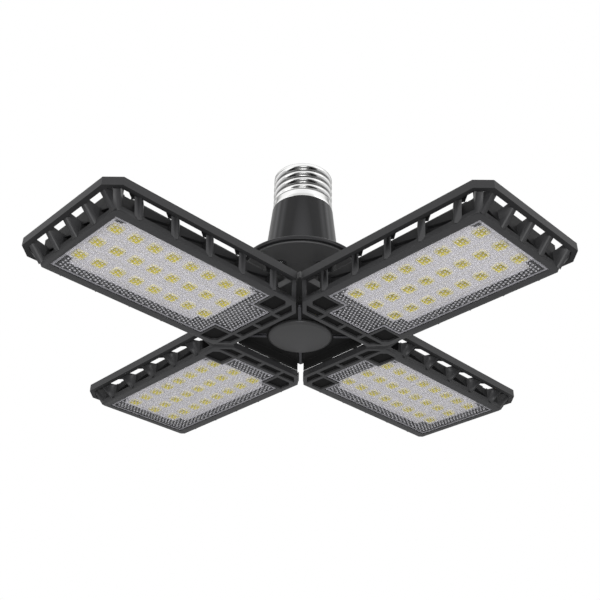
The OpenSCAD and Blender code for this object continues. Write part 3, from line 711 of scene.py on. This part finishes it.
@dataclass
class ScrewBase:
    """The threaded shell, its insulator and its centre contact."""

    crest_r: float = 13.2 * MM
    depth: float = 1.1 * MM
    pitch: float = 3.63 * MM
    turns: float = 4.0
    skirt: float = 3.2 * MM
    wall: float = 0.4 * MM
    insulator_h: float = 4.2 * MM
    bore_r: float = 1.4 * MM
    contact_r: float = 4.6 * MM
    contact_h: float = 1.6 * MM
    contact_t: float = 0.8 * MM
    rows: int = 80
    columns: int = 144

    @property
    def top(self) -> float:
        """The height of the shell above the shoulder."""
        return self.skirt + self.turns * self.pitch

    def wave(self, turn: np.ndarray, z: np.ndarray) -> np.ndarray:
        """How deep the thread is, from 0 on a crest to 1 in a root: a cosine of the height less the
        turn's share of one pitch, flattened on the crests, fading out to 0 at both ends.

        Args:
            turn: angles round the axis.
            z: heights above the shoulder.

        Returns:
            The depths, as a share of the thread's whole depth.
        """
        phase = (z - self.skirt) / self.pitch - turn / (2 * math.pi)
        dip = (0.5 - 0.5 * np.cos(2 * math.pi * phase)) ** 1.25
        start = np.clip((z - self.skirt) / (0.55 * self.pitch), 0, 1)
        end = np.clip((self.top - z) / (0.45 * self.pitch), 0, 1)
        fade = (start * start * (3 - 2 * start)) * (end * end * (3 - 2 * end))
        return dip * fade

    def shell(self) -> bpy.types.Object:
        """The rolled shell: rows of points run up the outside, over the lip and down the inside, and
        each row goes round the axis at the crest radius less the thread's depth there. The lip and the
        foot are listed as steps inward from the crest radius and upward from the shell's end.

        Returns:
            The piece.
        """
        low = 0.02 * MM
        up = np.linspace(self.skirt, self.top, self.rows)
        turn = np.linspace(0, 2 * math.pi, self.columns, endpoint=False)[None, :]
        outside = self.crest_r - self.depth * self.wave(turn, up[:, None])
        lip = np.array([(0.25, 0.45), (0.9, 0.85), (2.0, 1.08), (2.8, 0.95), (3.1, 0.72), (1.6, 0.55)]) * MM
        foot = np.array([(0.12 * MM, low), (0, 0.2 * MM), (0, self.skirt * 0.5), (0, self.skirt * 0.95)])
        one = np.ones((1, self.columns))
        radius = np.vstack([self.crest_r - foot[:, :1] * one, outside, self.crest_r - lip[:, :1] * one,
                            outside[::-1] - self.wall, (self.crest_r - self.wall) * one])
        height = np.concatenate([foot[:, 1], up, self.top + lip[:, 1], up[::-1], [low]])
        faces = grid_faces(len(height), self.columns, round_rows=True)
        piece = new_piece("shell_with_thread", rings(radius, height[:, None], turn), faces, 55.0)
        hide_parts("screw_shell")
        return dress(piece, Palette.SHELL)

    def insulator(self) -> bpy.types.Object:
        """The glass insulator: a turned block with a stepped cone above the shell and a seat for the
        contact.

        Returns:
            The piece.
        """
        low, root = self.top - 3.0 * MM, self.crest_r - self.depth - self.wall - 0.3 * MM
        neck, tip = self.crest_r - 3.45 * MM, self.contact_r + 0.9 * MM
        face, seat_r = self.top + self.insulator_h, self.contact_r - 1.0 * MM
        seat = face - self.contact_t
        outline = rounded_profile([
            (self.bore_r, low, 0), (root, low, 0.3 * MM), (root, self.top - 1.0 * MM, 0.3 * MM),
            (neck, self.top - 0.05 * MM, 0.2 * MM), (neck, self.top + 1.1 * MM, 0.4 * MM),
            (neck - 1.5 * MM, self.top + 1.9 * MM, 0.4 * MM), (tip, face, 0.4 * MM),
            (seat_r, face, 0), (seat_r, seat, 0), (self.bore_r, seat, 0)])
        piece = revolved("insulator_block", outline, closed=True)
        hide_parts("base_insulator")
        return dress(piece, Palette.GLASS)

    def contact(self) -> bpy.types.Object:
        """The centre contact: a flanged disc under a low dome of solder, a quarter of an ellipse.

        Returns:
            The piece.
        """
        z0 = self.top + self.insulator_h - 0.75 * MM
        z1 = z0 + self.contact_t
        r, foot_r, edge = self.contact_r, self.contact_r - 1.1 * MM, 0.35 * MM
        t = np.linspace(0.0, math.pi / 2, 14)
        rise = self.contact_h - edge - 0.02 * MM
        dome = np.stack([r * np.cos(t), z1 + edge + rise * np.sin(t)], -1)
        outline = np.vstack([[(0.0, z0), (foot_r, z0), (foot_r, z1), (r, z1)], dome])
        outline[-1, 0] = 0.0
        piece = revolved("contact_button", outline, segments=72)
        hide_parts("center_contact")
        return dress(piece, Palette.CONTACT)

    def build(self) -> list:
        """Builds the base's pieces, all on the hub."""
        return [self.shell(), self.insulator(), self.contact()]


# ---------- driver housing ----------

@dataclass
class DriverHousing:
    """The smooth cone with its flange, and the driver inside it."""

    top_r: float = 13.5 * MM
    low_r: float = 16.4 * MM
    flange_r: float = 26.3 * MM
    cone_h: float = 29.0 * MM
    flange_h: float = 3.3 * MM
    wall: float = 1.8 * MM
    seat: float = 1.2 * MM
    rim: float = 1.6 * MM
    neck_r: float = 12.7 * MM
    neck_h: float = 2.75 * MM
    ring_r: float = 9.95 * MM
    ring_h: float = 5.4 * MM

    def shell(self) -> bpy.types.Object:
        """The housing: its half section turned round Z, with a soft shoulder and a rounded rim.

        Returns:
            The piece.
        """
        low = -self.cone_h
        under = low - self.flange_h
        seat_z = under + self.seat
        top_z, inward, rim_r = -0.05 * MM, self.wall + 0.3 * MM, self.flange_r - self.rim
        outline = rounded_profile([
            (self.neck_r - self.wall, self.neck_h, 0), (self.neck_r, self.neck_h, 0.2 * MM),
            (self.neck_r, top_z, 0), (self.top_r, top_z, 0.35 * MM), (self.low_r, low + 0.2 * MM, 1.0 * MM),
            (self.low_r + 1.2 * MM, low - 0.45 * MM, 0.8 * MM),
            (self.flange_r - 0.9 * MM, low - 1.0 * MM, 0.5 * MM),
            (self.flange_r, low - 1.7 * MM, 0.5 * MM), (self.flange_r, under, 0.35 * MM),
            (rim_r, under, 0.3 * MM), (rim_r, seat_z, 0),
            (self.ring_r, seat_z, 0), (self.ring_r, seat_z + self.ring_h, 0),
            (self.low_r - inward, seat_z + self.ring_h + 1.0 * MM, 0), (self.top_r - inward, -2.0 * MM, 0)])
        piece = revolved("housing_cone", outline, segments=192, closed=True, smooth_angle=50.0)
        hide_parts("driver_housing")
        return dress(piece, Palette.HOUSING)

    def build(self) -> list:
        """Builds the housing and dresses the driver's pieces.

        Returns:
            The pieces.
        """
        inner = {"driver_board": Palette.CIRCUIT, "transformer": Palette.WINDING,
                 "capacitors": Palette.CAPACITOR, "choke": Palette.FERRITE, "supply_leads": Palette.RED_LEAD}
        return [self.shell()] + [dress(frame["nodes"][node], finish) for node, finish in inner.items()]


# ---------- hub ----------

@dataclass
class Hub:
    """The column with its yoke, the bottom plate, the cap and the screws."""

    leaf_z: float = -68.1 * MM
    cap_r: float = 13.3 * MM
    cap_z: float = 3.9 * MM
    cap_t: float = 1.6 * MM
    stem_r: float = 5.95 * MM
    stem_h: float = 5.2 * MM
    stem_wall: float = 1.2 * MM
    arm_r0: float = 20.0 * MM
    arm_top: float = 17.0 * MM
    fin_half_w: float = 0.75 * MM
    fin_r: Sequence[float] = (13.6 * MM, 24.5 * MM)
    fin_top: float = 5.5 * MM

    def cap(self) -> bpy.types.Object:
        """The cap: a face whose height grows with a power of the radius, a quarter of an ellipse as its
        edge, and the stem that holds it.

        Returns:
            The piece.
        """
        flat, dish, sag, round_h = 0.86, 0.5 * MM, 0.42 * MM, 0.9 * MM
        r, z, back = self.cap_r, self.cap_z, self.cap_z + self.cap_t
        t = np.linspace(0, 1, 14)
        face = np.stack([r * flat * t, z - dish + sag * t ** 2.2], -1)
        t = np.linspace(0, math.pi / 2, 12)[1:]
        edge = np.stack([r * (flat + (1 - flat) * np.sin(t)), z - dish + sag + round_h * (1 - np.cos(t))], -1)
        inner_r, stem_z, chamfer = self.stem_r - self.stem_wall, back + self.stem_h, 0.2 * MM
        stem = [(r, back - chamfer), (r - chamfer, back), (self.stem_r, back), (self.stem_r, stem_z),
                (inner_r, stem_z), (inner_r, back), (0.0, back)]
        piece = revolved("cap_dome", np.vstack([face, edge, stem]), low=self.leaf_z, segments=128)
        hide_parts("hub_cap")
        return dress(piece, Palette.CAP)

    def build(self) -> list:
        """Builds the hub's pieces. The column and yoke take a lighter copy of the casting as painted light, the
        yoke's arms a darker copy as painted shade, and the plate's fins charcoal.

        Returns:
            The pieces.
        """
        # painted light: the column and yoke take the lighter copy of the casting
        body = dress(softened_copy("hub_body", "hub_column_and_yoke", 0.3 * MM), Palette.COLUMN)
        x, y, z = face_middles(body, 0.0, self.leaf_z).T
        # painted shade: the yoke's arms take a darker copy of the casting
        part_dressed(body, Palette.BLACK_CASTING, (z < self.arm_top) & (np.hypot(x, y) > self.arm_r0))
        plate = dress(softened_copy("bottom_plate", "plate_under_hub", 0.2 * MM), Palette.PLATE)
        x, y, z = face_middles(plate, 0.0, self.leaf_z).T
        near_axis = np.minimum(np.abs(x), np.abs(y)) < self.fin_half_w
        reach = np.hypot(x, y)
        fins = near_axis & (reach > self.fin_r[0]) & (reach < self.fin_r[1]) & (z < self.fin_top)
        part_dressed(plate, Palette.CASTING, fins)
        screws = dress(softened_copy("hub_screws", "screws_in_hub", 0.12 * MM), Palette.STEEL)
        return [body, plate, screws, self.cap()]


# ---------- leaf ----------

class LeafPlace(Enum):
    """The four leaves and their azimuths in degrees."""

    FIRST = 45
    SECOND = 135
    THIRD = 225
    FOURTH = 315

    @property
    def number(self) -> int:
        """The leaf's number in the frame."""
        return list(LeafPlace).index(self) + 1

    @property
    def turn(self) -> float:
        """The azimuth in radians."""
        return math.radians(self.value)


@dataclass
class Leaf:
    """One leaf: frame, lens with prisms, LEDs on their board, heat sink, hinge pin and lead."""

    place: LeafPlace
    leaf_z: float = -68.1 * MM
    lens_u0: float = 35.8 * MM
    lens_l: float = 69.4 * MM
    lens_w: float = 41.0 * MM
    tab_u0: float = 27.4 * MM
    tab_w: float = 22.8 * MM
    lens_z: float = 0.2 * MM
    lens_t: float = 1.5 * MM
    prism_pitch: float = 1.70 * MM
    prism_r: float = 0.50 * MM
    prism_sides: int = 6
    prism_levels: Sequence = ((1.0, 0.12), (0.86, -0.06), (0.40, -0.17))
    edge_w: float = 1.0 * MM
    edge_r: float = 0.12 * MM
    led_w: float = 5.0 * MM
    led_h: float = 0.6 * MM
    led_pool: float = 0.14 * MM
    led_squareness: float = 0.30
    led_top: float = 2.54 * MM
    led_pitch_u: float = 8.2 * MM
    led_pitch_v: float = 11.2 * MM
    led_columns: int = 8
    lead_r: float = 0.8 * MM
    lead_step: float = 0.8 * MM
    lead_u: float = 33.8 * MM
    lead_z: float = 21.5 * MM
    tray: Sequence[float] = (34.9 * MM, 107.3 * MM, 23.7 * MM, 2.25 * MM)
    pockets: Sequence[float] = (20.6 * MM, 22.3 * MM, 0.7 * MM)

    def to_row(self, points: np.ndarray) -> np.ndarray:
        """Leaf coordinates turned by the azimuth about Z and lowered to the leaf's front face.

        Args:
            points: points in leaf coordinates, the last axis of length 3.

        Returns:
            The same points in the frame's coordinates.
        """
        c, s = math.cos(self.place.turn), math.sin(self.place.turn)
        u, v, z = points[..., 0], points[..., 1], points[..., 2]
        return np.stack([u * c - v * s, u * s + v * c, z + self.leaf_z], -1)

    def named(self, word: str) -> str:
        """A piece's name with the leaf's number."""
        return "%s_%d" % (word, self.place.number)

    def keep(self, piece: bpy.types.Object, slot: str, *nodes: str) -> bpy.types.Object:
        """Lets a piece ride on this leaf and stand for CAD nodes.

        Args:
            piece: the piece.
            slot: not used.
            nodes: the CAD nodes that it stands for.

        Returns:
            The piece.
        """
        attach(piece, "leaf_%d" % self.place.number)
        if nodes:
            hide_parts(*nodes)
        return piece

    def lens_outline(self, inset: float) -> np.ndarray:
        """The lens's outline with its tab, moved inward, counter-clockwise from the tab's corner."""
        h, t = self.lens_w / 2 - inset, self.tab_w / 2 - inset
        a, b, c = self.tab_u0 + inset, self.lens_u0 + inset, self.lens_u0 + self.lens_l - inset
        return np.array([[a, -t], [b, -t], [b, -h], [c, -h], [c, h], [b, h], [b, t], [a, t]])

    def prism_places(self) -> np.ndarray:
        """Rows of points in a triangular pattern: 0.866 of a pitch between rows, every other row half a
        pitch out of step, all inside the lens's outline less its plain edge.

        Returns:
            The points' u and v, n by 2.
        """
        margin, row_step = self.edge_w + self.prism_r, self.prism_pitch * 0.866
        rows_u = np.arange(self.tab_u0 + margin, self.lens_u0 + self.lens_l - margin, row_step)
        columns = int(self.lens_w / self.prism_pitch) + 1
        v = (np.arange(columns) - columns / 2) * self.prism_pitch
        shift = (np.arange(len(rows_u)) % 2)[:, None] * self.prism_pitch / 2
        uu = np.broadcast_to(rows_u[:, None], (len(rows_u), columns))
        vv = v[None, :] + shift
        half = np.where(uu < self.lens_u0 + margin, self.tab_w / 2, self.lens_w / 2) - margin
        inside = np.abs(vv) <= half
        return np.stack([uu[inside], vv[inside]], -1)

    def lens(self) -> bpy.types.Object:
        """The lens: its plate, a frosted band round its face, and a low six-sided dome for each prism,
        whose rings shrink as they rise out of the face. A dome's levels are a share of its radius and a
        height in millimetres over the face. Face kinds: 0 plate, 1 prism, 2 band.

        Returns:
            The piece.
        """
        z0, z1 = self.lens_z, self.lens_z + self.lens_t
        outer, inner = self.lens_outline(0.0), self.lens_outline(self.edge_w)
        ring = [(outer, z1), (outer, z0 + self.edge_r), (self.lens_outline(self.edge_r), z0),
                (self.lens_outline(self.edge_w - 0.15 * MM), z0), (inner, z0 + 0.05 * MM)]
        plate = np.concatenate([np.column_stack([p, np.full(len(p), z)]) for p, z in ring])
        n = len(outer)
        a = np.arange(self.prism_sides) * 2 * math.pi / self.prism_sides
        shares, heights = np.array(self.prism_levels).T[:, :, None]
        dome = rings(self.prism_r * shares, z0 + heights * MM, a).reshape(-1, 3)
        domes, quads, feet, crowns = repeated_rings(dome, len(shares), self.prism_places(), len(plate))
        faces = [*grid_faces(len(ring), n), *end_faces(len(ring), n), *quads, *feet, *crowns]
        kinds = [0] * n + [2] * 3 * n + [0, 0] + [1] * (len(quads) + len(feet) + len(crowns))
        points = self.to_row(np.concatenate([plate, domes]))
        piece = new_piece(self.named("prismatic_lens"), points, faces, 60.0, np.array(kinds))
        for finish in (Palette.LENS, Palette.PRISM, Palette.LENS_EDGE):
            piece.data.materials.append(finish.value.material())
        return self.keep(piece, "prismatic_lens", self.named("lens"))

    def leds(self) -> bpy.types.Object:
        """The LED packages: each is a stack of rounded squares, a circle's cosine and sine raised to a
        small power, from the foot up to the rim and down into the pool of phosphor. Face kinds: 0
        package, 1 phosphor.

        Returns:
            The piece.
        """
        t = np.linspace(0, 2 * math.pi, 24, endpoint=False)
        circle = np.stack([np.cos(t), np.sin(t)], -1)
        unit = np.sign(circle) * np.abs(circle) ** self.led_squareness
        half, top = self.led_w / 2, self.led_top
        levels = [(half, top + self.led_h), (half, top + 0.1 * MM), (half - 0.12 * MM, top),
                  (half - 0.40 * MM, top), (half - 0.52 * MM, top + self.led_pool)]
        one = np.concatenate([np.column_stack([unit * size, np.full(len(unit), z)]) for size, z in levels])
        middle = self.lens_u0 + self.lens_l / 2
        i = (np.arange(self.led_columns) - (self.led_columns - 1) / 2) * self.led_pitch_u + middle
        j = np.arange(-1, 2) * self.led_pitch_v
        spots = np.stack(np.meshgrid(i, j, indexing="ij"), -1).reshape(-1, 2)
        points, quads, feet, pools = repeated_rings(one, len(levels), spots)
        kinds = np.concatenate([np.zeros(len(quads) + len(feet)), np.ones(len(pools))])
        faces = [*quads, *feet, *pools]
        piece = new_piece(self.named("led_packages"), self.to_row(points), faces, 50.0, kinds)
        for finish in (Palette.PACKAGE, Palette.PHOSPHOR):
            piece.data.materials.append(finish.value.material())
        return self.keep(piece, "phosphor", self.named("leds"))

    def lead(self) -> bpy.types.Object:
        """The lead: a round section carried along its path in the leaf's middle plane, from the column
        over the yoke and down in front of the hinge pin into the tray.

        Returns:
            The piece.
        """
        drop_u, top_z, board_z, board_u = 2.1 * MM, 38.0 * MM, 4.2 * MM, 37.6 * MM
        path = rounded_profile([(drop_u, top_z, 0), (drop_u, self.lead_z, 2.2 * MM),
                                (self.lead_u, self.lead_z, 3.0 * MM), (self.lead_u, board_z, 1.6 * MM),
                                (board_u, board_z, 0)], 9)
        dense = [path[0]]
        for a, b in zip(path[:-1], path[1:]):
            n = max(1, int(np.linalg.norm(b - a) / self.lead_step))
            dense += [a + (b - a) * k / n for k in range(1, n + 1)]
        path = np.array(dense)
        along = np.gradient(path, axis=0)
        along /= np.linalg.norm(along, axis=1)[:, None]
        across = np.stack([-along[:, 1], along[:, 0]], -1)
        a = np.linspace(0, 2 * math.pi, 14, endpoint=False)
        r = self.lead_r
        u = path[:, 0:1] + r * np.cos(a) * across[:, 0:1]
        z = path[:, 1:2] + r * np.cos(a) * across[:, 1:2]
        v = np.broadcast_to(r * np.sin(a), u.shape)
        faces = [*grid_faces(len(path), len(a)), *end_faces(len(path), len(a))]
        piece = new_piece(self.named("lead_to_leaf"), self.to_row(np.stack([u, v, z], -1)), faces, 60.0)
        dress(piece, Palette.BLACK_LEAD)
        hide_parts(self.named("leaf_lead"), *(["output_leads"] if self.place.number == 1 else []))
        ends = self.to_row(np.array([[self.lead_u, 0.0, 17.0 * MM], [self.lead_u, 0.0, 6.0 * MM]]))
        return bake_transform(piece, "hub", "leaf_%d" % self.place.number, start=tuple(ends[0]), end=tuple(ends[1]))

    def build(self) -> list:
        """Builds the leaf's pieces and dresses its CAD nodes. The tray's walls and the pockets of the
        frame's inner end are painted darker as shade.

        Returns:
            The pieces.
        """
        turn = self.place.turn
        made = []
        for word, name, width, finish, angle, slot in (
                ("leaf_frame", "cast_frame", 0.25, Palette.CASTING, turn, "charcoal_casting"),
                ("heat_sink", "finned_sink", 0.15, Palette.HEAT_SINK, turn, "black_heat_sink"),
                ("sink_screws", "screws_in_sink", 0.1, Palette.STEEL, 0.0, "screw_steel"),
                ("hinge_pin", "pin_of_hinge", 0.25, Palette.STEEL, 0.0, "screw_steel")):
            piece = softened_copy(self.named(word), self.named(name), width * MM)
            made.append(self.keep(dress(piece, finish, angle), slot))
        body = made[0]
        u, v, z = face_middles(body, turn, self.leaf_z).T
        tray_u0, tray_u1, tray_half, tray_z = self.tray
        tray = (u > tray_u0) & (u < tray_u1) & (np.abs(v) < tray_half) & (z > tray_z)
        pocket_u0, pocket_half, pocket_z = self.pockets
        narrowed = np.minimum(u - 2.2 * MM, pocket_half)
        pockets = (u > pocket_u0) & (u < tray_u0) & (z > pocket_z) & (np.abs(v) < narrowed)
        # painted shade: the tray's walls take a darker copy of the charcoal casting
        part_dressed(body, Palette.BLACK_CASTING, tray, turn)
        # painted shade: the pockets of the frame's inner end go near black
        part_dressed(body, Palette.POCKET, pockets, turn)
        made += [self.lens(), self.leds(), self.lead()]
        for word, finish in (("led_board", Palette.BOARD), ("lens_seal", Palette.SEAL),
                             ("friction_washers", Palette.WASHER)):
            made.append(dress(frame["nodes"][self.named(word)], finish, turn))
        return made


# ---------- studio ----------

@dataclass
class Studio:
    """A pale floor under the hanging light, soft lamps and the photograph's camera."""

    eye: Sequence[float] = (0.0062, -0.3367, -0.2493)
    look: Sequence[float] = (-0.0166, 0.8555, 0.5176)
    roll: float = 1.19
    focal_px: float = 928.6
    picture_px: float = 600.0
    floor_z: float = -0.55
    floor_half: float = 4.0
    sky: float = 0.72

    def camera(self) -> bpy.types.Object:
        """The photograph's camera, solved from the leaves' corners: it looks along one direction and is
        rolled about it.

        Returns:
            The camera.
        """
        data = bpy.data.cameras.new("camera")
        data.sensor_width = 36.0
        data.lens = data.sensor_width * self.focal_px / self.picture_px
        data.clip_start, data.clip_end = 0.01, 20.0
        camera = bpy.data.objects.new("camera", data)
        bpy.context.scene.collection.objects.link(camera)
        ahead = Vector(self.look).normalized()
        right = ahead.cross(Vector((0, 0, 1))).normalized()
        up = right.cross(ahead)
        c, s = math.cos(math.radians(self.roll)), math.sin(math.radians(self.roll))
        side, top = c * right + s * up, c * up - s * right
        turn = Matrix((side, top, -ahead)).transposed()
        camera.matrix_world = Matrix.Translation(Vector(self.eye)) @ turn.to_4x4()
        bpy.context.scene.camera = camera
        return camera

    def world(self) -> None:
        """Even light from all round; the camera, gloss and glass see plain white instead."""
        world = bpy.data.worlds.new("sky")
        bpy.context.scene.world = world
        graph = Graph(world)
        path = graph.node("ShaderNodeLightPath")
        seen = path["Is Camera Ray"] + path["Is Glossy Ray"] + path["Is Transmission Ray"]
        strength = seen.math("MINIMUM", 1.0) * (1.0 - self.sky) + self.sky
        back = graph.node("ShaderNodeBackground", {}, {"Color": (1.0, 1.0, 1.0, 1.0), "Strength": strength})
        graph.node("ShaderNodeOutputWorld", {}, {"Surface": back[0]})

    def floor(self) -> bpy.types.Object:
        """A plain pale floor, a flat square.

        Returns:
            The piece.
        """
        corners = np.array([[-1, -1], [1, -1], [1, 1], [-1, 1]]) * self.floor_half
        mesh = bpy.data.meshes.new("floor")
        mesh.from_pydata(np.column_stack([corners, np.full(4, self.floor_z)]), [], [(0, 1, 2, 3)])
        piece = bpy.data.objects.new("floor", mesh)
        bpy.context.scene.collection.objects.link(piece)
        pale = Finish("floor_pale", (0.86, 0.86, 0.87), 0.8, grain=0.05, mottle=0.01)
        piece.data.materials.append(pale.material())
        return piece

    def lamp(self, name: str, place: Sequence[float], size: float, power: float) -> None:
        """A square soft lamp that faces the light's middle.

        Args:
            name: the lamp's name.
            place: where it stands.
            size: its side.
            power: its power in watts.
        """
        data = bpy.data.lights.new(name, "AREA")
        data.size, data.energy = size, power
        lamp = bpy.data.objects.new(name, data)
        bpy.context.scene.collection.objects.link(lamp)
        lamp.location = place
        lamp.rotation_mode = "QUATERNION"
        lamp.rotation_quaternion = (Vector((0, 0, -0.05)) - Vector(place)).to_track_quat("-Z", "Y")

    def build(self) -> None:
        """Builds the whole studio."""
        self.camera()
        self.world()
        self.floor()
        self.lamp("key_left", (-0.9, -0.8, -0.25), 0.7, 2.0)
        self.lamp("front_low", (0.05, -0.75, -0.38), 0.3, 4.6)
        self.lamp("fill_right", (1.0, -0.6, 0.1), 0.7, 1.2)
        self.lamp("top", (0.2, 0.5, 1.2), 0.9, 2.0)


def main() -> None:
    """Builds the studio and the light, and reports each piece."""
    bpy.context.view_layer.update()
    scene = bpy.context.scene
    scene.view_settings.view_transform = "Standard"
    Studio().build()
    for part in (ScrewBase(), DriverHousing(), Hub()):
        for piece in part.build():
            if piece.parent is None:
                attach(piece, "hub")
            LOG.info("%s: %s, %d faces", type(part).__name__, piece.name, len(piece.data.polygons))
    for place in LeafPlace:
        for piece in Leaf(place).build():
            LOG.info("leaf %d: %s, %d faces", place.number, piece.name, len(piece.data.polygons))


if __name__ == "__main__":
    logging.basicConfig(level=logging.INFO, format="%(message)s")
    main()
